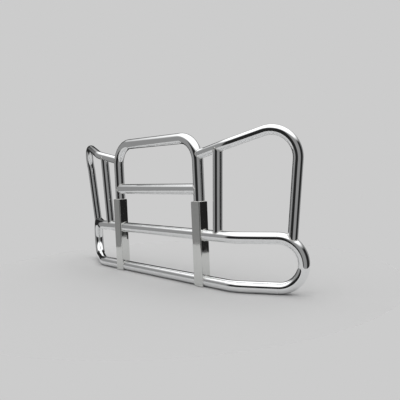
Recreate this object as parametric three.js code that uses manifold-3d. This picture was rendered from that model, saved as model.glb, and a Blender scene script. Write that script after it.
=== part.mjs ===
// Front grille guard for a heavy truck: a welded frame of polished stainless steel tube.
// Millimetres, +Z up. The guard's front faces -Y, and +X is the right-hand side seen from the front.
// Drawing frame: x = 0 is the plane of symmetry, y = 0 the plane of the hoop and the rails' straight
// middles, z = 0 the axis of the bottom rail. The whole group is then moved so that the origin is at
// the centre of the guard's base.

import * as THREE from 'three';
import { mergeVertices } from 'three/addons/utils/BufferGeometryUtils.js';
import Module from 'manifold-3d';

const wasm = await Module();
wasm.setup();

// ---- Driving dimensions ----

const mainTube = { outer: 38.1, wall: 3 };
const wingTube = { outer: 31.75, wall: 3 };
const weldGap = 0.3;

// Centre hoop and its crossbar
const hoopHalfWidth = 470;
const hoopTop = 980;
const hoopBend = 166;
const crossbarHeight = 626;

// Loop: mid rail, bottom rail and the two U-shaped ends, which sweep back towards the cab
const midRailHeight = 315;
const sweepStart = 766;
const sweepAngle = THREE.MathUtils.degToRad(27);
const sweepBend = 258;
const sweepLength = 447;

// Wings: a rising tube with a corner bend, a post down to the loop and a strut
const wingRoot = new THREE.Vector3(hoopHalfWidth, -1, 858);
const wingKnee = new THREE.Vector3(746, -8, 913);
const wingCorner = new THREE.Vector3(1210, 141, 1039);
const wingKneeBend = 252;
const wingCornerBend = 165;
const wingTail = new THREE.Vector3(-0.163, 0.098, -1).normalize();
const wingTailLength = 8;
const mitreReach = 12;
const postFootAngle = THREE.MathUtils.degToRad(35.5);
const strutTopX = 670;
const strutFootX = 633;

// Uprights: channels folded from plate, open at the back
const uprightWidth = 86;
const plateThickness = 4;
const uprightFront = -(mainTube.outer + weldGap + plateThickness);
const uprightBack = 32;
const uprightTop = 541;
const uprightBottom = -35;
const foldRadius = 7;
const slotDepth = 18;
const slotBottom = 213;
const slotTop = 274;

// Mounting plate between the flanges, flush with their back edges, with its weld nuts (M12)
const mountThickness = 6;
const mountBottom = 32;
const mountTop = 283;
const boltSpacingX = 46;
const boltSpacingZ = 160;
const boltHoleRadius = 6.75;
const nutWidth = 19;
const nutBoreRadius = 5.3;
const nutHeight = 10;

// Facets, and the smallest lengths that the shapes are drawn with
const outerSides = 24;
const innerSides = 8;
const bendStep = THREE.MathUtils.degToRad(15);
const foldFacets = 3;
const boltHoleSides = 16;
const nutBoreSides = 12;
const mergeDistance = 1e-3;
const shortestRun = 1e-3;

// ---- Materials ----

const polished = new THREE.MeshStandardMaterial({ color: 0xd4d6d6, roughness: 0.08, metalness: 1 });
const polishedPlate = new THREE.MeshStandardMaterial({ color: 0xb9bab7, roughness: 0.2, metalness: 1 });
const milled = new THREE.MeshStandardMaterial({ color: 0x8f9090, roughness: 0.45, metalness: 1 });
const zinc = new THREE.MeshStandardMaterial({ color: 0xa9adb0, roughness: 0.35, metalness: 1 });

// ---- Solids ----

function toSolid(geometry) {
  const bare = geometry.clone();
  bare.deleteAttribute('normal');
  bare.deleteAttribute('uv');
  const merged = mergeVertices(bare, mergeDistance);
  return new wasm.Manifold(new wasm.Mesh({
    numProp: 3,
    vertProperties: new Float32Array(merged.attributes.position.array),
    triVerts: new Uint32Array(merged.index.array),
  }));
}

function toGeometry(solid) {
  const mesh = solid.getMesh();
  const geometry = new THREE.BufferGeometry();
  geometry.setAttribute('position', new THREE.BufferAttribute(new Float32Array(mesh.vertProperties), 3));
  geometry.setIndex(new THREE.BufferAttribute(new Uint32Array(mesh.triVerts), 1));
  return geometry;
}

function cut(geometry, ...tools) {
  let solid = toSolid(geometry);
  for (const tool of tools) {
    solid = solid.subtract(toSolid(tool));
  }
  return toGeometry(solid);
}

// ---- Tube axes: straight runs joined by round bends ----

class TubeAxis extends THREE.Curve {
  constructor(stations) {
    super();
    this.stations = stations;
  }

  at(t, key) {
    const last = this.stations.length - 1;
    const place = Math.min(t * last, last);
    const index = Math.min(Math.floor(place + 1e-9), last - 1);
    const from = this.stations[index][key];
    const to = this.stations[index + 1][key];
    return from.clone().lerp(to, Math.max(place - index, 0));
  }

  getPoint(t, target = new THREE.Vector3()) {
    return target.copy(this.at(t, 'point'));
  }

  getPointAt(u, target) {
    return this.getPoint(u, target);
  }

  getTangentAt(u, target = new THREE.Vector3()) {
    return target.copy(this.at(u, 'tangent').normalize());
  }
}

// A round bend between two directions, tangent to both, as stations along the tube's axis.
function bendStations(corner, into, outOf, radius) {
  const turn = into.angleTo(outOf);
  const reach = radius * Math.tan(turn / 2);
  const start = corner.clone().addScaledVector(into, -reach);
  const inward = outOf.clone().addScaledVector(into, -outOf.dot(into)).normalize();
  const steps = Math.max(2, Math.ceil(turn / bendStep));
  const stations = [];
  for (let i = 0; i <= steps; i += 1) {
    const angle = (turn * i) / steps;
    const point = start.clone();
    point.addScaledVector(into, radius * Math.sin(angle));
    point.addScaledVector(inward, radius * (1 - Math.cos(angle)));
    const tangent = into.clone().multiplyScalar(Math.cos(angle));
    tangent.addScaledVector(inward, Math.sin(angle));
    stations.push({ point, tangent });
  }
  return stations;
}

// The axis through a list of corners, with one bend radius for each inner corner.
function bentAxis(corners, radii) {
  const directions = [];
  for (let i = 1; i < corners.length; i += 1) {
    directions.push(corners[i].clone().sub(corners[i - 1]).normalize());
  }
  const stations = [{ point: corners[0], tangent: directions[0] }];
  radii.forEach((radius, i) => {
    stations.push(...bendStations(corners[i + 1], directions[i], directions[i + 1], radius));
  });
  stations.push({ point: corners.at(-1), tangent: directions.at(-1) });
  return new TubeAxis(stations);
}

function straightAxis(from, to) {
  return bentAxis([from, to], []);
}

// ---- Tube sections ----

function polygon(radius, sides) {
  const points = [];
  for (let i = 0; i < sides; i += 1) {
    const angle = (2 * Math.PI * i) / sides;
    points.push(new THREE.Vector2(radius * Math.cos(angle), radius * Math.sin(angle)));
  }
  return points;
}

function polygonArea(sides) {
  return (sides / 2) * Math.sin((2 * Math.PI) / sides);
}

// The inner polygon is sized so that the faceted wall holds as much metal as the round one.
function hollowSection(tube) {
  const metal = Math.PI * (tube.outer ** 2 - (tube.outer - tube.wall) ** 2);
  const inside = polygonArea(outerSides) * tube.outer ** 2 - metal;
  const shape = new THREE.Shape(polygon(tube.outer, outerSides));
  shape.holes.push(new THREE.Path(polygon(Math.sqrt(inside / polygonArea(innerSides)), innerSides)));
  return shape;
}

function sweep(shape, axis) {
  return new THREE.ExtrudeGeometry(shape, {
    steps: axis.stations.length - 1,
    extrudePath: axis,
    bevelEnabled: false,
  });
}

function hollowTube(tube, axis) {
  return sweep(hollowSection(tube), axis);
}

// The full round a tube takes out of a neighbour that is coped to fit it.
function copeTool(tube, axis) {
  return sweep(new THREE.Shape(polygon(tube.outer + weldGap, outerSides)), axis);
}

// ---- Axes of the guard's tubes ----

function mirrored(side, point) {
  return new THREE.Vector3(side * point.x, point.y, point.z);
}

// A place on the swept end's vertical plane: distance along the sweep, height.
function onSweep(side, along, height) {
  const x = sweepStart + along * Math.cos(sweepAngle);
  return new THREE.Vector3(side * x, along * Math.sin(sweepAngle), height);
}

const endBend = midRailHeight / 2;
const endBendStart = sweepLength - endBend;

function hoopAxis() {
  const legFoot = midRailHeight;
  return bentAxis([
    new THREE.Vector3(-hoopHalfWidth, 0, legFoot),
    new THREE.Vector3(-hoopHalfWidth, 0, hoopTop),
    new THREE.Vector3(hoopHalfWidth, 0, hoopTop),
    new THREE.Vector3(hoopHalfWidth, 0, legFoot),
  ], [hoopBend, hoopBend]);
}

function railAxis(height) {
  const end = endBendStart - weldGap / 2;
  return bentAxis([
    onSweep(-1, end, height),
    onSweep(-1, 0, height),
    onSweep(1, 0, height),
    onSweep(1, end, height),
  ], [sweepBend, sweepBend]);
}

function loopEndAxis(side) {
  const start = endBendStart + weldGap / 2;
  return bentAxis([
    onSweep(side, start, midRailHeight),
    onSweep(side, sweepLength + weldGap / 2, midRailHeight),
    onSweep(side, sweepLength + weldGap / 2, 0),
    onSweep(side, start, 0),
  ], [endBend - shortestRun, endBend - shortestRun]);
}

// The wing tube ends where the corner bend runs out and the post is welded on.
function wingAxis(side) {
  const rise = wingCorner.clone().sub(wingKnee).normalize();
  const reach = wingCornerBend * Math.tan(rise.angleTo(wingTail) / 2);
  const end = wingCorner.clone().addScaledVector(wingTail, reach + wingTailLength);
  return bentAxis([
    mirrored(side, wingRoot),
    mirrored(side, wingKnee),
    mirrored(side, wingCorner),
    mirrored(side, end),
  ], [wingKneeBend, wingCornerBend]);
}

function postAxis(side) {
  const top = wingAxis(side).stations.at(-1).point;
  const along = endBendStart + endBend * Math.sin(postFootAngle);
  const height = endBend + endBend * Math.cos(postFootAngle);
  return straightAxis(top, onSweep(side, along, height));
}

function strutAxis(side) {
  const share = (strutTopX - wingRoot.x) / (wingKnee.x - wingRoot.x);
  const top = wingRoot.clone().lerp(wingKnee, share);
  return straightAxis(mirrored(side, top), new THREE.Vector3(side * strutFootX, 0, midRailHeight));
}

function crossbarAxis() {
  return straightAxis(
    new THREE.Vector3(-hoopHalfWidth, 0, crossbarHeight),
    new THREE.Vector3(hoopHalfWidth, 0, crossbarHeight),
  );
}

// ---- Sub-parts ----

// A block that reaches from the mitre plane between a wing tube and its post to one side of it.
function mitreBlock(side, sign) {
  const wingEnd = wingAxis(side).stations.at(-1);
  const postDirection = postAxis(side).stations[0].tangent;
  const normal = wingEnd.tangent.clone().add(postDirection).normalize();
  const size = 8 * wingTube.outer;
  const block = new THREE.BoxGeometry(size, size, size);
  const turn = new THREE.Quaternion().setFromUnitVectors(new THREE.Vector3(0, 0, 1), normal);
  const middle = wingEnd.point.clone().addScaledVector(normal, (sign * (size - weldGap)) / 2);
  block.applyMatrix4(new THREE.Matrix4().compose(middle, turn, new THREE.Vector3(1, 1, 1)));
  return block;
}

// The same axis with both its ends drawn out, for a tube that is then cut to its final length.
function lengthened(axis, before, after) {
  const first = axis.stations[0];
  const last = axis.stations.at(-1);
  const start = first.point.clone().addScaledVector(first.tangent, -before);
  const end = last.point.clone().addScaledVector(last.tangent, after);
  return new TubeAxis([
    { point: start, tangent: first.tangent },
    ...axis.stations.slice(1, -1),
    { point: end, tangent: last.tangent },
  ]);
}

function hoop() {
  return cut(hollowTube(mainTube, hoopAxis()), copeTool(mainTube, railAxis(midRailHeight)));
}

function crossbar() {
  return cut(hollowTube(mainTube, crossbarAxis()), copeTool(mainTube, hoopAxis()));
}

function wing(side) {
  const tube = hollowTube(wingTube, lengthened(wingAxis(side), 0, mitreReach));
  return cut(tube, copeTool(mainTube, hoopAxis()), mitreBlock(side, 1));
}

function post(side) {
  const tube = hollowTube(wingTube, lengthened(postAxis(side), mitreReach, 0));
  return cut(tube, copeTool(mainTube, loopEndAxis(side)), mitreBlock(side, -1));
}

function strut(side) {
  const wingTool = copeTool(wingTube, wingAxis(side));
  const railTool = copeTool(mainTube, railAxis(midRailHeight));
  return cut(hollowTube(wingTube, strutAxis(side)), wingTool, railTool);
}

// Folded channel in plan, front towards -Y, centred on x = 0.
function channelShape() {
  const half = uprightWidth / 2;
  const innerHalf = half - plateThickness;
  const innerFront = uprightFront + plateThickness;
  const innerFold = foldRadius - plateThickness;
  const shape = new THREE.Shape();
  shape.moveTo(-half, uprightBack);
  shape.lineTo(-half, uprightFront + foldRadius);
  shape.absarc(-half + foldRadius, uprightFront + foldRadius, foldRadius, Math.PI, 1.5 * Math.PI);
  shape.absarc(half - foldRadius, uprightFront + foldRadius, foldRadius, -Math.PI / 2, 0);
  shape.lineTo(half, uprightBack);
  shape.lineTo(innerHalf, uprightBack);
  shape.absarc(innerHalf - innerFold, innerFront + innerFold, innerFold, 0, -Math.PI / 2, true);
  shape.absarc(-innerHalf + innerFold, innerFront + innerFold, innerFold, 1.5 * Math.PI, Math.PI, true);
  shape.lineTo(-innerHalf, uprightBack);
  shape.closePath();
  return shape;
}

// A slot in the flange nearer the middle of the guard, open at the back, for a spanner.
function accessSlotTool(side) {
  const depth = 2 * slotDepth;
  const height = slotTop - slotBottom;
  const block = new THREE.BoxGeometry(4 * plateThickness, depth, height);
  const flange = side * (hoopHalfWidth - uprightWidth / 2 + plateThickness / 2);
  return block.translate(flange, uprightBack, (slotTop + slotBottom) / 2);
}

// The flanges stop above the bottom rail's axis behind the rail, so that no loose corner is left there.
function flangeFootTool(side) {
  const depth = 2 * uprightBack;
  const height = 2 * mainTube.outer;
  const block = new THREE.BoxGeometry(2 * uprightWidth, depth, height);
  return block.translate(side * hoopHalfWidth, depth / 2, -height / 2);
}

function uprightChannel(side) {
  const channel = new THREE.ExtrudeGeometry(channelShape(), {
    depth: uprightTop - plateThickness - weldGap - uprightBottom,
    bevelEnabled: false,
    curveSegments: foldFacets,
  });
  channel.translate(side * hoopHalfWidth, 0, uprightBottom);
  const rails = [0, midRailHeight].map((height) => copeTool(mainTube, railAxis(height)));
  return cut(channel, ...rails, flangeFootTool(side), accessSlotTool(side));
}

function uprightCap(side) {
  const half = uprightWidth / 2;
  const shape = new THREE.Shape();
  shape.moveTo(-half, uprightBack);
  shape.lineTo(-half, uprightFront + foldRadius);
  shape.absarc(-half + foldRadius, uprightFront + foldRadius, foldRadius, Math.PI, 1.5 * Math.PI);
  shape.absarc(half - foldRadius, uprightFront + foldRadius, foldRadius, -Math.PI / 2, 0);
  shape.lineTo(half, uprightBack);
  shape.closePath();
  const cap = new THREE.ExtrudeGeometry(shape, {
    depth: plateThickness,
    bevelEnabled: false,
    curveSegments: foldFacets,
  });
  cap.translate(side * hoopHalfWidth, 0, uprightTop - plateThickness);
  return cut(cap, copeTool(mainTube, hoopAxis()));
}

// Centres of a mounting plate's four holes, measured from the middle of the plate.
function boltCentres() {
  const centres = [];
  for (const x of [-boltSpacingX / 2, boltSpacingX / 2]) {
    for (const z of [-boltSpacingZ / 2, boltSpacingZ / 2]) {
      centres.push(new THREE.Vector2(x, z));
    }
  }
  return centres;
}

function circlePath(centre, radius, sides) {
  return new THREE.Path(polygon(radius, sides).map((point) => point.add(centre)));
}

// Shapes drawn in X and Z, with their thickness along Y from the given face towards -Y.
function standPlate(shape, thickness, backFace) {
  const plate = new THREE.ExtrudeGeometry(shape, { depth: thickness, bevelEnabled: false });
  plate.rotateX(Math.PI / 2);
  return plate.translate(0, backFace, 0);
}

const mountMiddle = (mountTop + mountBottom) / 2;

function mountPlate() {
  const half = uprightWidth / 2 - plateThickness - weldGap;
  const tall = (mountTop - mountBottom) / 2;
  const shape = new THREE.Shape([
    new THREE.Vector2(-half, -tall),
    new THREE.Vector2(half, -tall),
    new THREE.Vector2(half, tall),
    new THREE.Vector2(-half, tall),
  ]);
  for (const centre of boltCentres()) {
    shape.holes.push(circlePath(centre, boltHoleRadius, boltHoleSides));
  }
  return standPlate(shape, mountThickness, uprightBack);
}

function weldNut() {
  const shape = new THREE.Shape(polygon(nutWidth / Math.sqrt(3), 6));
  shape.holes.push(circlePath(new THREE.Vector2(), nutBoreRadius, nutBoreSides));
  return standPlate(shape, nutHeight, uprightBack - mountThickness - weldGap);
}

// ---- Assembly ----

function named(name, geometry, material) {
  const mesh = new THREE.Mesh(geometry, material);
  mesh.name = name;
  return mesh;
}

function centreParts() {
  return [
    named('hoop', hoop(), polished),
    named('crossbar', crossbar(), polished),
    named('mid_rail', hollowTube(mainTube, railAxis(midRailHeight)), polished),
    named('bottom_rail', hollowTube(mainTube, railAxis(0)), polished),
  ];
}

function mountParts(side, sideName) {
  const group = new THREE.Group();
  group.position.set(side * hoopHalfWidth, 0, mountMiddle);
  group.add(named(`mount_plate_${sideName}`, mountPlate(), milled));
  boltCentres().forEach((centre, i) => {
    const nut = named(`weld_nut_${sideName}_${i + 1}`, weldNut(), zinc);
    nut.position.set(centre.x, 0, centre.y);
    group.add(nut);
  });
  return group;
}

function sideParts(side, sideName) {
  return [
    named(`loop_end_${sideName}`, hollowTube(mainTube, loopEndAxis(side)), polished),
    named(`wing_tube_${sideName}`, wing(side), polished),
    named(`wing_post_${sideName}`, post(side), polished),
    named(`wing_strut_${sideName}`, strut(side), polished),
    named(`upright_channel_${sideName}`, uprightChannel(side), polishedPlate),
    named(`upright_cap_${sideName}`, uprightCap(side), polishedPlate),
    mountParts(side, sideName),
  ];
}

const guard = new THREE.Group();
guard.add(...centreParts(), ...sideParts(1, 'right'), ...sideParts(-1, 'left'));

// The loop ends' outermost surface is the rearmost part of the guard, the channels' fronts the foremost.
const rearmost = sweepLength * Math.sin(sweepAngle) + mainTube.outer;
guard.position.set(0, -(rearmost + uprightFront) / 2, mainTube.outer);

export default guard;
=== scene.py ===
"""Looks of the front grille guard: a welded frame of polished stainless tube.

Metres, +Z up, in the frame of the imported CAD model. The guard's front faces -Y, and +X is the
right-hand side seen from the front. Tubes are drawn in a drawing frame, as the CAD draws them:
x = 0 is the plane of symmetry, y = 0 the plane of the hoop, z = 0 the axis of the bottom rail.
"""

import math

import bmesh
import bpy
import numpy as np
from mathutils import Euler, Matrix, Vector


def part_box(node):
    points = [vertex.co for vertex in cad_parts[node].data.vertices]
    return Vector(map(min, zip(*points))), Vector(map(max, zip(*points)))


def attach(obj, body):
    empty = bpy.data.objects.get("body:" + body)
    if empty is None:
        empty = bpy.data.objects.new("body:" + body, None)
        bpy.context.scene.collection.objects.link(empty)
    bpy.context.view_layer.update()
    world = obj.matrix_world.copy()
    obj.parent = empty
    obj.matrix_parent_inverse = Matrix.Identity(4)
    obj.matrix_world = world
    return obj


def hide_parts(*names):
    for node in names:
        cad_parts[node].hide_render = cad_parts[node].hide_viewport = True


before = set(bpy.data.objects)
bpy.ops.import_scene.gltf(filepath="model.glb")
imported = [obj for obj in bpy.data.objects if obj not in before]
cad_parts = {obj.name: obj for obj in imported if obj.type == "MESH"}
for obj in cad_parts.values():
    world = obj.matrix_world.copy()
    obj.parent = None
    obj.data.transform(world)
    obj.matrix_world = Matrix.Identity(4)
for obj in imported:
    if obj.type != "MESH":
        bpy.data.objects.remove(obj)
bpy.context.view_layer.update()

SIDES = (("right", 1), ("left", -1))


def middle(node):
    low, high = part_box(node)
    return (low + high) / 2


def size(node):
    low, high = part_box(node)
    return high - low


# ---- Places taken from the CAD nodes ----

MAIN_RADIUS = size("crossbar").z / 2
ORIGIN = np.array([0, middle("crossbar").y, middle("bottom_rail").z])
HOOP_HALF_WIDTH = middle("upright_channel_right").x
HOOP_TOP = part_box("hoop")[1].z - MAIN_RADIUS - ORIGIN[2]
CROSSBAR_HEIGHT = middle("crossbar").z - ORIGIN[2]
RAIL_HEIGHT = middle("mid_rail").z - ORIGIN[2]

# ---- The CAD's other driving dimensions ----

WING_RADIUS = 0.03175
HOOP_BEND = 0.166
SWEEP_START = 0.766
SWEEP_ANGLE = math.radians(27)
SWEEP_BEND = 0.258
SWEEP_LENGTH = 0.447
WING_ROOT = (0.470, -0.001, 0.858)
WING_KNEE = (0.746, -0.008, 0.913)
WING_CORNER = (1.210, 0.141, 1.039)
WING_KNEE_BEND = 0.252
WING_CORNER_BEND = 0.165
WING_TAIL = (-0.163, 0.098, -1)
WING_TAIL_LENGTH = 0.008
POST_FOOT_ANGLE = math.radians(35.5)
STRUT_TOP_X = 0.670
STRUT_FOOT_X = 0.633
PLATE = 0.004
FOLD_RADIUS = 0.007
SLOT_DEPTH = 0.018
SLOT_BOTTOM = 0.213
SLOT_TOP = 0.274
BOLT_SPACING = (0.046, 0.160)
BOLT_HOLE_RADIUS = 0.00675

# ---- Fineness of the visual meshes ----

TUBE_SIDES = 96
BEND_STEP = math.radians(3)
BISECTIONS = 30
BEAD_SIDES = 10
RIPPLE_PITCH = 0.0028
POINTS_PER_RIPPLE = 4
BEAD_STEP = RIPPLE_PITCH / POINTS_PER_RIPPLE
FEWEST_BEAD_POINTS = 8
RIPPLE = 0.09
WANDER = 0.08
SLOW_WANDER = 0.11
FAST_WANDER = 0.37
BEAD_END_SHARE = 0.35
BEAD_TAPER_POINTS = 8
FOLD_STEPS = 8
WELD_ARC_POINTS = 48
HOLE_SIDES = 48
FLOOR_SIDES = 128
CLEARANCE = 0.0003
SAME_POINT = 1e-6
EDGE_WIDTH = 0.0006
CAP_EDGE_WIDTH = 0.0008
BEVEL_ANGLE = math.radians(40)
SHARP_ANGLE = math.radians(60)
NORMAL_WEIGHT = 100
ACROSS_HINT = (0.3, 0.5, 0.8)

# ---- Sockets of the Mix node's colour mode ----

MIX_FIRST_COLOUR = 6
MIX_SECOND_COLOUR = 7
MIX_COLOUR_RESULT = 2

# ---- Camera ----

CAMERA_PLACE = Vector((2.8935, -2.3764, 0.8028))
CAMERA_YAW = 0.815
CAMERA_PITCH = -0.064
CAMERA_ROLL = -0.041
CAMERA_LENS = 44.08
CAMERA_SENSOR = 36


# ---- Axes: lists of points and directions along a tube's middle ----


def unit(vector):
    return np.asarray(vector, float) / np.linalg.norm(vector)


def angle_between(a, b):
    return math.acos(float(np.clip(a @ b, -1, 1)))


def bend(corner, into, out_of, radius):
    """A round bend between two directions, tangent to both."""
    turn = angle_between(into, out_of)
    start = corner - into * radius * math.tan(turn / 2)
    inward = unit(out_of - into * (into @ out_of))
    steps = max(2, math.ceil(turn / BEND_STEP))
    stations = []
    for step in range(steps + 1):
        angle = turn * step / steps
        point = start + into * radius * math.sin(angle) + inward * radius * (1 - math.cos(angle))
        stations.append((point, into * math.cos(angle) + inward * math.sin(angle)))
    return stations


def bent_axis(corners, radii):
    """The axis through the corners, with one bend radius for each inner corner."""
    corners = [np.asarray(corner, float) for corner in corners]
    directions = [unit(b - a) for a, b in zip(corners, corners[1:])]
    stations = [(corners[0], directions[0])]
    for index, radius in enumerate(radii):
        stations += bend(corners[index + 1], directions[index], directions[index + 1], radius)
    stations.append((corners[-1], directions[-1]))
    return stations


def straight_axis(start, end):
    """A straight axis with a station half-way, so that both of its ends can be coped."""
    start, end = np.asarray(start, float), np.asarray(end, float)
    along = unit(end - start)
    return [(start, along), ((start + end) / 2, along), (end, along)]


def points_of(axis):
    return np.array([point for point, _ in axis])


def mirrored(side, point):
    return np.array([side * point[0], point[1], point[2]])


def on_sweep(side, along, height):
    x = SWEEP_START + along * math.cos(SWEEP_ANGLE)
    return np.array([side * x, along * math.sin(SWEEP_ANGLE), height])


END_BEND = RAIL_HEIGHT / 2
END_BEND_START = SWEEP_LENGTH - END_BEND


def hoop_axis():
    foot = RAIL_HEIGHT
    corners = [
        (-HOOP_HALF_WIDTH, 0, foot),
        (-HOOP_HALF_WIDTH, 0, HOOP_TOP),
        (HOOP_HALF_WIDTH, 0, HOOP_TOP),
        (HOOP_HALF_WIDTH, 0, foot),
    ]
    return bent_axis(corners, [HOOP_BEND, HOOP_BEND])


def crossbar_axis():
    start = (-HOOP_HALF_WIDTH, 0, CROSSBAR_HEIGHT)
    return straight_axis(start, (HOOP_HALF_WIDTH, 0, CROSSBAR_HEIGHT))


def rail_axis(height):
    corners = [
        on_sweep(-1, END_BEND_START, height),
        on_sweep(-1, 0, height),
        on_sweep(1, 0, height),
        on_sweep(1, END_BEND_START, height),
    ]
    return bent_axis(corners, [SWEEP_BEND, SWEEP_BEND])


def loop_end_axis(side):
    """Half a turn between the two rails, in the upright plane of the swept end."""
    centre = on_sweep(side, END_BEND_START, END_BEND)
    outward = unit(on_sweep(side, 1, 0) - on_sweep(side, 0, 0))
    steps = round(math.pi / BEND_STEP)
    stations = []
    for step in range(steps + 1):
        angle = math.pi * step / steps
        up = np.array([0, 0, math.cos(angle)])
        point = centre + END_BEND * (outward * math.sin(angle) + up)
        tangent = outward * math.cos(angle) - np.array([0, 0, math.sin(angle)])
        stations.append((point, tangent))
    return stations


def wing_axis(side):
    rise = unit(np.subtract(WING_CORNER, WING_KNEE))
    tail = unit(WING_TAIL)
    reach = WING_CORNER_BEND * math.tan(angle_between(rise, tail) / 2)
    end = np.asarray(WING_CORNER) + tail * (reach + WING_TAIL_LENGTH)
    corners = [mirrored(side, point) for point in (WING_ROOT, WING_KNEE, WING_CORNER, end)]
    return bent_axis(corners, [WING_KNEE_BEND, WING_CORNER_BEND])


def post_axis(side):
    along = END_BEND_START + END_BEND * math.sin(POST_FOOT_ANGLE)
    height = END_BEND + END_BEND * math.cos(POST_FOOT_ANGLE)
    return straight_axis(wing_axis(side)[-1][0], on_sweep(side, along, height))


def strut_axis(side):
    root, knee = np.asarray(WING_ROOT), np.asarray(WING_KNEE)
    top = root + (knee - root) * (STRUT_TOP_X - root[0]) / (knee[0] - root[0])
    return straight_axis(mirrored(side, top), (side * STRUT_FOOT_X, 0, RAIL_HEIGHT))


# ---- Where a tube's wall ends: how far each of its lines runs from the last whole ring ----


def distance_to_axis(points, axis_points):
    """The shortest distance from each point to a chain of straight pieces."""
    starts, runs = axis_points[:-1], np.diff(axis_points, axis=0)
    offsets = points[:, None, :] - starts[None, :, :]
    share = (offsets * runs).sum(2) / (runs * runs).sum(1)
    nearest = starts + np.clip(share, 0, 1)[:, :, None] * runs
    return np.linalg.norm(points[:, None, :] - nearest, axis=2).min(1)


def cope_onto(axis, radius):
    """The wall is cut to fit a neighbouring tube's surface."""

    def lengths(ring, direction, reach):
        low, high = np.zeros(len(ring)), np.full(len(ring), reach)
        for _ in range(BISECTIONS):
            half = (low + high) / 2
            outside = distance_to_axis(ring + half[:, None] * direction, points_of(axis)) > radius
            low, high = np.where(outside, half, low), np.where(outside, high, half)
        return high

    return lengths


def mitre_at(point, normal):
    """The wall is cut along a plane."""

    def lengths(ring, direction, _reach):
        return ((point - ring) @ normal) / (direction @ normal)

    return lengths


def square_end(ring, _direction, reach):
    return np.full(len(ring), reach)


# ---- Meshes ----


def make_piece(name, mesh, material):
    piece = bpy.data.objects.new(name, mesh)
    bpy.context.scene.collection.objects.link(piece)
    mesh.materials.append(material)
    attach(piece, "root")
    return piece


def carried_frames(axis):
    """Two directions across the tube at every station, carried along without twist.

    The first comes from a hint that lies along no tube.
    """
    first = axis[0][1]
    across = unit(np.cross(first, ACROSS_HINT))
    frames = []
    for _, tangent in axis:
        across = unit(across - tangent * (across @ tangent))
        frames.append((across, np.cross(tangent, across)))
    return frames


def round_rings(axis, radius):
    angles = np.linspace(0, 2 * math.pi, TUBE_SIDES, endpoint=False)
    rings = []
    for (point, _), (across, over) in zip(axis, carried_frames(axis)):
        circle = np.outer(np.cos(angles), across) + np.outer(np.sin(angles), over)
        rings.append(point + radius * circle)
    return rings


def cut_end(axis, rings, travelled, end, next_in, lengths):
    """Replaces an end ring by one whose points lie where the wall is cut."""
    step = axis[end][0] - axis[next_in][0]
    reach = float(np.linalg.norm(step))
    direction = unit(step)
    run = lengths(rings[next_in], direction, reach)
    rings[end] = rings[next_in] + run[:, None] * direction
    toward_start = -1 if end == 0 else 1
    travelled[end] = travelled[next_in][0] + toward_start * run


def skin(name, rings, around, travelled):
    """A smooth skin over the rings. Its UV map holds metres: round the tube and along it."""
    grid = bmesh.new()
    uv = grid.loops.layers.uv.new("metres")
    count = len(rings[0])
    verts = [[grid.verts.new(point) for point in ring] for ring in rings]
    for index in range(len(rings) - 1):
        for k in range(count):
            after = (k + 1) % count
            near, far = index, index + 1
            corners = ((near, k, k), (near, after, k + 1), (far, after, k + 1), (far, k, k))
            face = grid.faces.new([verts[row][column] for row, column, _ in corners])
            face.smooth = True
            for loop, (row, column, turn) in zip(face.loops, corners):
                loop[uv].uv = (around * turn / count, travelled[row][column])
    mesh = bpy.data.meshes.new(name)
    grid.to_mesh(mesh)
    grid.free()
    return mesh


def tube(name, node, axis, radius, start=square_end, end=square_end):
    """A bent tube whose two ends are cut as asked. Returns its first and last ring."""
    rings = round_rings(axis, radius)
    steps = np.linalg.norm(np.diff(points_of(axis), axis=0), axis=1)
    travelled = [np.full(TUBE_SIDES, place) for place in np.concatenate([[0], np.cumsum(steps)])]
    cut_end(axis, rings, travelled, 0, 1, start)
    cut_end(axis, rings, travelled, len(axis) - 1, len(axis) - 2, end)
    mesh = skin(name, [ring + ORIGIN for ring in rings], 2 * math.pi * radius, travelled)
    piece = make_piece(name, mesh, materials["tube"])
    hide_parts(node)
    return rings[0], rings[-1]


def resampled(path, spacing, closed):
    """The same path with its points evenly spaced."""
    path = np.asarray(path)
    if closed:
        path = np.vstack([path, path[:1]])
    place = np.concatenate([[0], np.cumsum(np.linalg.norm(np.diff(path, axis=0), axis=1))])
    count = max(FEWEST_BEAD_POINTS, round(place[-1] / spacing))
    wanted = np.linspace(0, place[-1], count, endpoint=not closed)
    return np.stack([np.interp(wanted, place, path[:, i]) for i in range(3)], axis=1)


def directions_along(path, closed):
    if closed:
        return np.roll(path, -1, axis=0) - np.roll(path, 1, axis=0)
    return np.gradient(path, axis=0)


def weld_bead(name, path, radius, closed=True, dressed=False):
    """A bead of weld along a path in the drawing frame: rippled, or dressed smooth."""
    path = resampled(path, BEAD_STEP, closed)
    centre = path.mean(0)
    angles = np.linspace(0, 2 * math.pi, BEAD_SIDES, endpoint=False)
    rings = []
    unevenness = 0 if dressed else 1
    for index, (point, along) in enumerate(zip(path, directions_along(path, closed))):
        along = unit(along)
        outward = point - centre
        outward = unit(outward - along * (outward @ along))
        over = np.cross(along, outward)
        ripple = 1 + unevenness * RIPPLE * math.sin(2 * math.pi * index / POINTS_PER_RIPPLE)
        drift = math.sin(index * FAST_WANDER) * math.sin(index * SLOW_WANDER)
        wander = 1 + unevenness * WANDER * drift
        to_end = min(index, len(path) - 1 - index)
        taper = 1 if closed else min(1, BEAD_END_SHARE + to_end / BEAD_TAPER_POINTS)
        circle = np.outer(np.cos(angles), outward) + np.outer(np.sin(angles), over)
        rings.append(point + ORIGIN + radius * ripple * wander * taper * circle)
    if closed:
        rings.append(rings[0])
    travelled = [np.full(BEAD_SIDES, index * BEAD_STEP) for index in range(len(rings))]
    mesh = skin(name, rings, 2 * math.pi * radius, travelled)
    merge_doubles_and_close(mesh)
    return make_piece(name, mesh, materials["weld"])


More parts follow.
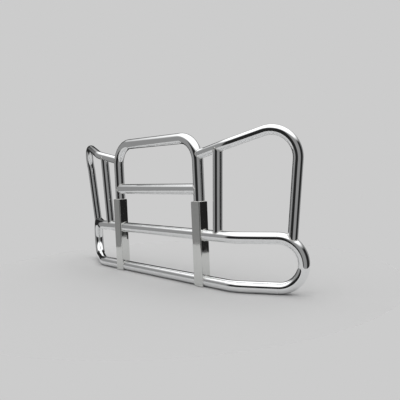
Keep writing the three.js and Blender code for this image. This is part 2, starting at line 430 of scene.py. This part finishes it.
def merge_doubles_and_close(mesh):
    """Joins the first and last ring of a closed bead, or caps the ends of an open one."""
    grid = bmesh.new()
    grid.from_mesh(mesh)
    bmesh.ops.remove_doubles(grid, verts=grid.verts, dist=SAME_POINT)
    bmesh.ops.holes_fill(grid, edges=grid.edges, sides=BEAD_SIDES)
    bmesh.ops.recalc_face_normals(grid, faces=grid.faces)
    grid.to_mesh(mesh)
    grid.free()


def prism(name, outline, low, high, turn=None):
    """A closed solid: an outline in X and Y drawn up from low to high, then turned."""
    solid = bmesh.new()
    base = solid.faces.new([solid.verts.new((x, y, low)) for x, y in outline])
    grown = bmesh.ops.extrude_face_region(solid, geom=[base])
    top = [item for item in grown["geom"] if isinstance(item, bmesh.types.BMVert)]
    bmesh.ops.translate(solid, verts=top, vec=(0, 0, high - low))
    bmesh.ops.recalc_face_normals(solid, faces=solid.faces)
    if turn is not None:
        bmesh.ops.transform(solid, matrix=turn, verts=solid.verts)
    mesh = bpy.data.meshes.new(name)
    solid.to_mesh(mesh)
    solid.free()
    return mesh


def circle(radius, sides, centre=(0, 0)):
    angles = np.linspace(0, 2 * math.pi, sides, endpoint=False)
    return [(centre[0] + radius * math.cos(a), centre[1] + radius * math.sin(a)) for a in angles]


def arc(centre, radius, start, end, steps):
    angles = np.linspace(start, end, steps + 1)
    return [(centre[0] + radius * math.cos(a), centre[1] + radius * math.sin(a)) for a in angles]


def rectangle(half_x, half_y):
    return [(-half_x, -half_y), (half_x, -half_y), (half_x, half_y), (-half_x, half_y)]


def settle(piece):
    """Applies the piece's modifiers to its mesh."""
    graph = bpy.context.evaluated_depsgraph_get()
    mesh = bpy.data.meshes.new_from_object(piece.evaluated_get(graph))
    piece.modifiers.clear()
    piece.data = mesh


def cut_away(piece, tool_meshes):
    """Takes the tool solids out of the piece."""
    for mesh in tool_meshes:
        tool = bpy.data.objects.new("tool", mesh)
        bpy.context.scene.collection.objects.link(tool)
        cut = piece.modifiers.new("cut", "BOOLEAN")
        cut.operation = "DIFFERENCE"
        cut.solver = "EXACT"
        cut.object = tool
        settle(piece)
        bpy.data.objects.remove(tool)


def soften_edges(piece, width):
    """Rounds the sharp edges a little, and shades the rest smooth."""
    bevel = piece.modifiers.new("bevel", "BEVEL")
    bevel.width = width
    bevel.segments = 2
    bevel.limit_method = "ANGLE"
    bevel.angle_limit = BEVEL_ANGLE
    settle(piece)
    piece.data.shade_smooth()
    piece.data.set_sharp_from_angle(angle=SHARP_ANGLE)
    even = piece.modifiers.new("even", "WEIGHTED_NORMAL")
    even.keep_sharp = True
    even.weight = NORMAL_WEIGHT
    settle(piece)


# ---- Node helpers ----


def linear(level):
    """A scene value from a display level of 0 to 255."""
    share = level / 255
    return share / 12.92 if share <= 0.04045 else ((share + 0.055) / 1.055) ** 2.4


def tone(red, green=None, blue=None):
    """A colour from display levels, or a grey from one."""
    levels = (red, red if green is None else green, red if blue is None else blue)
    return (*[linear(level) for level in levels], 1)


class Graph:
    """Adds nodes to a tree, with values or other nodes' outputs as their inputs."""

    def __init__(self, tree):
        self.tree = tree
        tree.nodes.clear()

    def node(self, kind, **settings):
        made = self.tree.nodes.new(kind)
        for name, value in settings.items():
            setattr(made, name, value)
        return made

    def feed(self, socket, value):
        if isinstance(value, bpy.types.NodeSocket):
            self.tree.links.new(value, socket)
        elif value is not None:
            socket.default_value = value

    def math(self, operation, a, b=None):
        made = self.node("ShaderNodeMath", operation=operation)
        self.feed(made.inputs[0], a)
        self.feed(made.inputs[1], b)
        return made.outputs[0]

    def between(self, value, low, high, to_low=0.0, to_high=1.0):
        """The value's place between low and high, eased, as a number from to_low to to_high."""
        made = self.node("ShaderNodeMapRange", interpolation_type="SMOOTHSTEP")
        names = ("Value", "From Min", "From Max", "To Min", "To Max")
        for name, number in zip(names, (value, low, high, to_low, to_high)):
            self.feed(made.inputs[name], number)
        return made.outputs["Result"]

    def mix(self, share, a, b):
        made = self.node("ShaderNodeMix", data_type="RGBA")
        self.feed(made.inputs["Factor"], share)
        self.feed(made.inputs[MIX_FIRST_COLOUR], a)
        self.feed(made.inputs[MIX_SECOND_COLOUR], b)
        return made.outputs[MIX_COLOUR_RESULT]

    def stretched(self, vector, scale):
        made = self.node("ShaderNodeMapping")
        self.feed(made.inputs["Vector"], vector)
        made.inputs["Scale"].default_value = scale
        return made.outputs["Vector"]

    def noise(self, vector, scale, detail=2.0, roughness=0.5):
        made = self.node("ShaderNodeTexNoise")
        self.feed(made.inputs["Vector"], vector)
        made.inputs["Scale"].default_value = scale
        made.inputs["Detail"].default_value = detail
        made.inputs["Roughness"].default_value = roughness
        return made.outputs["Fac"]

    def bump(self, height, distance, normal=None):
        made = self.node("ShaderNodeBump")
        made.inputs["Strength"].default_value = 1.0
        made.inputs["Distance"].default_value = distance
        self.feed(made.inputs["Height"], height)
        self.feed(made.inputs["Normal"], normal)
        return made.outputs["Normal"]


def metal(name):
    """A new metallic material: its graph and its shader."""
    material = bpy.data.materials.new(name)
    material.use_nodes = True
    graph = Graph(material.node_tree)
    shader = graph.node("ShaderNodeBsdfPrincipled")
    shader.inputs["Metallic"].default_value = 1.0
    output = graph.node("ShaderNodeOutputMaterial")
    graph.feed(output.inputs["Surface"], shader.outputs["BSDF"])
    return material, graph, shader


# ---- Materials ----


def polished_tube_material():
    """Mirror-polished stainless tube: fine lines round the tube, faint waves, a few smudges."""
    material, graph, shader = metal("polished_stainless_tube")
    metres = graph.node("ShaderNodeTexCoord").outputs["UV"]
    lines = graph.noise(graph.stretched(metres, (14, 2400, 1)), 1.0, detail=3.0)
    waves = graph.noise(graph.stretched(metres, (7, 5, 1)), 1.0, detail=1.0)
    smudges = graph.noise(graph.stretched(metres, (38, 16, 1)), 1.0, detail=4.0, roughness=0.6)
    graph.feed(shader.inputs["Base Color"], graph.mix(smudges, tone(238, 239, 240), tone(248, 249, 249)))
    graph.feed(shader.inputs["Roughness"], graph.between(smudges, 0.35, 0.75, 0.03, 0.08))
    fine = graph.bump(lines, 0.0000015)
    graph.feed(shader.inputs["Normal"], graph.bump(waves, 0.0012, normal=fine))
    return material


def polished_plate_material():
    """Polished sheet: grain along the upright and a hazier reflection than the tubes."""
    material, graph, shader = metal("polished_stainless_plate")
    place = graph.node("ShaderNodeTexCoord").outputs["Object"]
    grain = graph.noise(graph.stretched(place, (1500, 1500, 22)), 1.0, detail=3.0)
    dents = graph.noise(place, 9.0, detail=1.0)
    haze = graph.noise(place, 42.0, detail=4.0, roughness=0.6)
    graph.feed(shader.inputs["Base Color"], graph.mix(haze, tone(214, 215, 213), tone(231, 232, 230)))
    graph.feed(shader.inputs["Roughness"], graph.between(haze, 0.3, 0.75, 0.05, 0.10))
    fine = graph.bump(grain, 0.0000015)
    graph.feed(shader.inputs["Normal"], graph.bump(dents, 0.0004, normal=fine))
    return material


def weld_material():
    """Dressed weld metal: duller than the tube, with a trace of straw heat tint."""
    material, graph, shader = metal("dressed_weld")
    place = graph.node("ShaderNodeTexCoord").outputs["Object"]
    tint = graph.noise(place, 60.0, detail=3.0)
    grit = graph.noise(place, 900.0, detail=3.0)
    graph.feed(shader.inputs["Base Color"], graph.mix(tint, tone(206, 203, 196), tone(222, 223, 223)))
    graph.feed(shader.inputs["Roughness"], graph.between(grit, 0.3, 0.7, 0.16, 0.32))
    graph.feed(shader.inputs["Normal"], graph.bump(grit, 0.00008))
    return material


def milled_plate_material():
    """Hot-rolled and pickled mounting plate: matt, mottled, with light scuffs."""
    material, graph, shader = metal("mill_finish_plate")
    place = graph.node("ShaderNodeTexCoord").outputs["Object"]
    mottle = graph.noise(place, 34.0, detail=5.0, roughness=0.65)
    scuffs = graph.noise(graph.stretched(place, (900, 40, 60)), 1.0, detail=2.0)
    graph.feed(shader.inputs["Base Color"], graph.mix(mottle, tone(128, 128, 127), tone(176, 176, 174)))
    graph.feed(shader.inputs["Roughness"], graph.between(scuffs, 0.3, 0.7, 0.36, 0.55))
    graph.feed(shader.inputs["Normal"], graph.bump(mottle, 0.0003))
    return material


def zinc_material():
    """Bright zinc on the weld nuts, with a faint bluish cast."""
    material, graph, shader = metal("zinc_plating")
    place = graph.node("ShaderNodeTexCoord").outputs["Object"]
    cast = graph.noise(place, 160.0, detail=3.0)
    spangle = graph.noise(place, 700.0, detail=2.0)
    graph.feed(shader.inputs["Base Color"], graph.mix(cast, tone(168, 173, 178), tone(196, 196, 190)))
    graph.feed(shader.inputs["Roughness"], graph.between(spangle, 0.3, 0.7, 0.25, 0.42))
    graph.feed(shader.inputs["Normal"], graph.bump(spangle, 0.00006))
    return material


materials = {
    "tube": polished_tube_material(),
    "plate": polished_plate_material(),
    "weld": weld_material(),
    "mill": milled_plate_material(),
    "zinc": zinc_material(),
}


# ---- Tubes and the welds between them ----

FILLET = 0.0032
LEG_FILLET = 0.0042
DRESSED_SEAM = 0.0022
SEAM_CROWN = 0.0001


def shrunk(ring, depth):
    """A ring drawn towards its middle, so that only the crown of a bead on it stands proud."""
    inward = ring.mean(0) - ring
    return ring + depth * inward / np.linalg.norm(inward, axis=1)[:, None]


def dressed_seam(name, ring):
    """A butt weld ground down until only the crown of its bead stands proud."""
    weld_bead(name, shrunk(ring, DRESSED_SEAM - SEAM_CROWN), DRESSED_SEAM, dressed=True)


def build_centre():
    hoop = hoop_axis()
    rail = rail_axis(RAIL_HEIGHT)
    onto_rail = cope_onto(rail, MAIN_RADIUS)
    feet = tube("hoop_tube", "hoop", hoop, MAIN_RADIUS, onto_rail, onto_rail)
    onto_hoop = cope_onto(hoop, MAIN_RADIUS)
    bar_ends = tube("crossbar_tube", "crossbar", crossbar_axis(), MAIN_RADIUS, onto_hoop, onto_hoop)
    tube("mid_rail_tube", "mid_rail", rail, MAIN_RADIUS)
    tube("bottom_rail_tube", "bottom_rail", rail_axis(0), MAIN_RADIUS)
    for (side_name, _), foot, bar_end in zip(reversed(SIDES), feet, bar_ends):
        weld_bead(f"weld_hoop_foot_{side_name}", foot, FILLET)
        weld_bead(f"weld_crossbar_{side_name}", bar_end, FILLET)


def build_loop_end(side_name, side):
    axis = loop_end_axis(side)
    name, node = f"loop_end_tube_{side_name}", f"loop_end_{side_name}"
    first, last = tube(name, node, axis, MAIN_RADIUS)
    dressed_seam(f"seam_mid_rail_{side_name}", first)
    dressed_seam(f"seam_bottom_rail_{side_name}", last)


def build_wing(side_name, side):
    wing, post, strut = wing_axis(side), post_axis(side), strut_axis(side)
    joint, wing_end = wing[-1]
    mitre = mitre_at(joint, unit(wing_end + post[0][1]))
    onto_hoop = cope_onto(hoop_axis(), MAIN_RADIUS)
    onto_rail = cope_onto(rail_axis(RAIL_HEIGHT), MAIN_RADIUS)
    onto_wing = cope_onto(wing, WING_RADIUS)
    onto_loop = cope_onto(loop_end_axis(side), MAIN_RADIUS)
    name, node = f"wing_tube_bent_{side_name}", f"wing_tube_{side_name}"
    root, seam = tube(name, node, wing, WING_RADIUS, onto_hoop, mitre)
    name, node = f"wing_post_tube_{side_name}", f"wing_post_{side_name}"
    _, post_foot = tube(name, node, post, WING_RADIUS, mitre, onto_loop)
    name, node = f"wing_strut_tube_{side_name}", f"wing_strut_{side_name}"
    strut_top, strut_foot = tube(name, node, strut, WING_RADIUS, onto_wing, onto_rail)
    weld_bead(f"weld_wing_root_{side_name}", root, FILLET)
    dressed_seam(f"seam_wing_post_{side_name}", seam)
    weld_bead(f"weld_post_foot_{side_name}", post_foot, FILLET)
    weld_bead(f"weld_strut_top_{side_name}", strut_top, FILLET)
    weld_bead(f"weld_strut_foot_{side_name}", strut_foot, FILLET)


# ---- Uprights ----

# How much of the quarter turn towards the front a weld round a rail covers
RAIL_WELD_SHARE = 0.96


class Upright:
    """Where one upright lies, from its CAD nodes, in the frame of the CAD."""

    def __init__(self, side_name, side):
        low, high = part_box(f"upright_channel_{side_name}")
        self.name = side_name
        self.side = side
        self.x = (low.x + high.x) / 2
        self.half = (high.x - low.x) / 2
        self.front, self.back = low.y, high.y
        self.bottom = low.z
        self.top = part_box(f"upright_cap_{side_name}")[1].z


def channel_outline(upright):
    """The folded channel in plan, open at the back, with rounded folds."""
    half, front, back = upright.half, upright.front, upright.back
    inner = half - PLATE
    inside_fold = FOLD_RADIUS - PLATE
    outer_y = front + FOLD_RADIUS
    steps = FOLD_STEPS
    quarter = math.pi / 2
    outline = [(-half, back)]
    outline += arc((-half + FOLD_RADIUS, outer_y), FOLD_RADIUS, 2 * quarter, 3 * quarter, steps)
    outline += arc((half - FOLD_RADIUS, outer_y), FOLD_RADIUS, 3 * quarter, 4 * quarter, steps)
    outline += [(half, back), (inner, back)]
    outline += arc((inner - inside_fold, outer_y), inside_fold, 4 * quarter, 3 * quarter, steps)
    outline += arc((-inner + inside_fold, outer_y), inside_fold, 3 * quarter, 2 * quarter, steps)
    outline += [(-inner, back)]
    return [(upright.x + x, y) for x, y in outline]


def rail_tool(upright, height):
    """A round bar along X where a rail passes through the upright."""
    place = Matrix.Translation((upright.x, ORIGIN[1], ORIGIN[2] + height))
    turn = place @ Matrix.Rotation(math.pi / 2, 4, "Y")
    reach = 2 * upright.half
    return prism("rail_tool", circle(MAIN_RADIUS + CLEARANCE, TUBE_SIDES), -reach, reach, turn)


def block_tool(half_x, half_y, low, high, x, y):
    return prism("block_tool", rectangle(half_x, half_y), low, high, Matrix.Translation((x, y, 0)))


def access_slot_tool(upright):
    flange = upright.x - upright.side * (upright.half - PLATE / 2)
    low, high = ORIGIN[2] + SLOT_BOTTOM, ORIGIN[2] + SLOT_TOP
    return block_tool(2 * PLATE, SLOT_DEPTH, low, high, flange, upright.back)


def flange_foot_tool(upright):
    """The flanges end above the bottom rail's axis behind the rail."""
    depth = upright.back - ORIGIN[1]
    low, high = ORIGIN[2] - 2 * MAIN_RADIUS, ORIGIN[2]
    return block_tool(2 * upright.half, depth, low, high, upright.x, ORIGIN[1] + depth)


def build_channel(upright):
    top = upright.top - PLATE
    mesh = prism("channel", channel_outline(upright), upright.bottom, top)
    piece = make_piece(f"upright_{upright.name}", mesh, materials["plate"])
    tools = [rail_tool(upright, 0), rail_tool(upright, RAIL_HEIGHT)]
    tools += [flange_foot_tool(upright), access_slot_tool(upright)]
    cut_away(piece, tools)
    soften_edges(piece, EDGE_WIDTH)
    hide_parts(f"upright_channel_{upright.name}")


def build_cap(upright):
    """The plate that closes the channel's top round the hoop's leg."""
    half, outer_y = upright.half, upright.front + FOLD_RADIUS
    outline = [(-half, upright.back)]
    outline += arc((-half + FOLD_RADIUS, outer_y), FOLD_RADIUS, math.pi, 1.5 * math.pi, FOLD_STEPS)
    outline += arc((half - FOLD_RADIUS, outer_y), FOLD_RADIUS, 1.5 * math.pi, 2 * math.pi, FOLD_STEPS)
    outline += [(half, upright.back)]
    mesh = prism("cap", [(upright.x + x, y) for x, y in outline], upright.top - PLATE, upright.top)
    piece = make_piece(f"upright_top_{upright.name}", mesh, materials["plate"])
    leg = circle(MAIN_RADIUS + CLEARANCE, TUBE_SIDES, (upright.x, ORIGIN[1]))
    cut_away(piece, [prism("leg_tool", leg, upright.top - 2 * PLATE, upright.top + PLATE)])
    soften_edges(piece, CAP_EDGE_WIDTH)
    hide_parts(f"upright_cap_{upright.name}")


def arc_path(centre, across, over, radius, start, end):
    angles = np.linspace(start, end, WELD_ARC_POINTS)
    return centre + radius * (np.outer(np.cos(angles), across) + np.outer(np.sin(angles), over))


def build_leg_weld(upright):
    """Weld round the hoop's leg where it comes out of the cap, open at the back."""
    gap = math.acos((upright.back - ORIGIN[1]) / MAIN_RADIUS)
    centre = np.array([upright.x, 0, upright.top - ORIGIN[2]])
    start = math.pi / 2 + gap
    path = arc_path(centre, (1, 0, 0), (0, 1, 0), MAIN_RADIUS, start, start + 2 * (math.pi - gap))
    weld_bead(f"weld_leg_{upright.name}", path, LEG_FILLET, closed=False)


def build_rail_welds(upright):
    """Weld where the flanges meet the rails: over and under the mid rail, over the bottom one."""
    behind = math.asin((upright.back - ORIGIN[1]) / MAIN_RADIUS)
    start = -RAIL_WELD_SHARE * math.pi / 2
    rails = (("mid", RAIL_HEIGHT, 1), ("mid_under", RAIL_HEIGHT, -1), ("bottom", 0, 1))
    for end_name, end in (("outer", 1), ("inner", -1)):
        x = upright.x + end * upright.side * upright.half
        for rail_name, height, over in rails:
            centre = np.array([x, 0, height])
            path = arc_path(centre, (0, 0, over), (0, 1, 0), MAIN_RADIUS, start, behind)
            name = f"weld_{rail_name}_{end_name}_{upright.name}"
            weld_bead(name, path, FILLET, closed=False)


def build_mount_plate(upright):
    node = f"mount_plate_{upright.name}"
    low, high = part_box(node)
    centre, extent = (low + high) / 2, high - low
    turn = Matrix.Translation(centre) @ Matrix.Rotation(math.pi / 2, 4, "X")
    plate = prism("mount", rectangle(extent.x / 2, extent.z / 2), -extent.y / 2, extent.y / 2, turn)
    piece = make_piece(f"mounting_plate_{upright.name}", plate, materials["mill"])
    tools = []
    for x in (-BOLT_SPACING[0] / 2, BOLT_SPACING[0] / 2):
        for z in (-BOLT_SPACING[1] / 2, BOLT_SPACING[1] / 2):
            outline = circle(BOLT_HOLE_RADIUS, HOLE_SIDES, (x, z))
            tools.append(prism("hole_tool", outline, -extent.y, extent.y, turn))
    cut_away(piece, tools)
    soften_edges(piece, EDGE_WIDTH)
    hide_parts(node)


def finish_weld_nuts(upright):
    """The CAD's nuts keep their shape and get a plated finish."""
    for number in (1, 2, 3, 4):
        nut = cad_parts[f"weld_nut_{upright.name}_{number}"]
        nut.data.materials.clear()
        nut.data.materials.append(materials["zinc"])


def build_upright(side_name, side):
    upright = Upright(side_name, side)
    build_channel(upright)
    build_cap(upright)
    build_leg_weld(upright)
    build_rail_welds(upright)
    build_mount_plate(upright)
    finish_weld_nuts(upright)


# ---- Stage: a plain floor, soft studio light, camera ----

FLOOR_RADIUS = 1.7
FLOOR_SHADE = 0.62
CEILING = tone(252)
DARK_WALL = tone(30)
GREY_PANEL = tone(120)
PANEL_COUNT = 3
PANEL_SOFTNESS = 0.4
# The wall's top edge and half the width of its blur, in degrees above the horizon
WALL_TOP = 36
WALL_EDGE = 12
LIGHT_STRENGTH = 1.45
BACKDROP = tone(204)


def build_floor():
    """A plain pale floor of one shade."""
    mesh = bpy.data.meshes.new("floor")
    grid = bmesh.new()
    bmesh.ops.create_circle(grid, cap_ends=True, segments=FLOOR_SIDES, radius=FLOOR_RADIUS)
    grid.to_mesh(mesh)
    grid.free()
    floor = bpy.data.objects.new("floor", mesh)
    bpy.context.scene.collection.objects.link(floor)
    mesh.materials.append(floor_material())


def floor_material():
    material = bpy.data.materials.new("floor")
    material.use_nodes = True
    graph = Graph(material.node_tree)
    pale = graph.node("ShaderNodeBsdfDiffuse")
    pale.inputs["Color"].default_value = (FLOOR_SHADE, FLOOR_SHADE, FLOOR_SHADE, 1)
    output = graph.node("ShaderNodeOutputMaterial")
    graph.feed(output.inputs["Surface"], pale.outputs[0])
    return material


def build_studio_light():
    """A soft white ceiling over a dark wall with grey panels, evenly spaced all the way round.

    The camera sees a plain backdrop of the floor's tone in place of both.
    """
    world = bpy.data.worlds.new("studio")
    bpy.context.scene.world = world
    world.use_nodes = True
    graph = Graph(world.node_tree)
    direction = graph.node("ShaderNodeSeparateXYZ")
    graph.feed(direction.inputs[0], graph.node("ShaderNodeTexCoord").outputs["Generated"])
    elevation = graph.math("DEGREES", graph.math("ARCSINE", direction.outputs["Z"]))
    azimuth = graph.math("ARCTAN2", direction.outputs["X"], direction.outputs["Y"])
    wave = graph.math("COSINE", graph.math("MULTIPLY", azimuth, PANEL_COUNT))
    panels = graph.between(wave, -PANEL_SOFTNESS, PANEL_SOFTNESS)
    wall = graph.mix(panels, DARK_WALL, GREY_PANEL)
    ceiling = graph.between(elevation, WALL_TOP - WALL_EDGE, WALL_TOP + WALL_EDGE)
    light = graph.node("ShaderNodeBackground")
    graph.feed(light.inputs["Color"], graph.mix(ceiling, wall, CEILING))
    light.inputs["Strength"].default_value = LIGHT_STRENGTH
    backdrop = graph.node("ShaderNodeBackground")
    backdrop.inputs["Color"].default_value = BACKDROP
    choice = graph.node("ShaderNodeMixShader")
    graph.feed(choice.inputs[0], graph.node("ShaderNodeLightPath").outputs["Is Camera Ray"])
    graph.feed(choice.inputs[1], light.outputs[0])
    graph.feed(choice.inputs[2], backdrop.outputs[0])
    output = graph.node("ShaderNodeOutputWorld")
    graph.feed(output.inputs["Surface"], choice.outputs[0])


def build_camera():
    camera = bpy.data.objects.new("camera", bpy.data.cameras.new("camera"))
    bpy.context.scene.collection.objects.link(camera)
    turn = Euler((math.radians(90) + CAMERA_PITCH, 0, CAMERA_YAW)).to_matrix().to_4x4()
    camera.matrix_world = Matrix.Translation(CAMERA_PLACE) @ turn @ Matrix.Rotation(CAMERA_ROLL, 4, "Z")
    camera.data.sensor_width = CAMERA_SENSOR
    camera.data.lens = CAMERA_LENS
    bpy.context.scene.camera = camera


build_centre()
for side_name, side in SIDES:
    build_loop_end(side_name, side)
    build_wing(side_name, side)
    build_upright(side_name, side)
build_floor()
build_studio_light()
build_camera()
bpy.context.scene.view_settings.view_transform = "Standard"
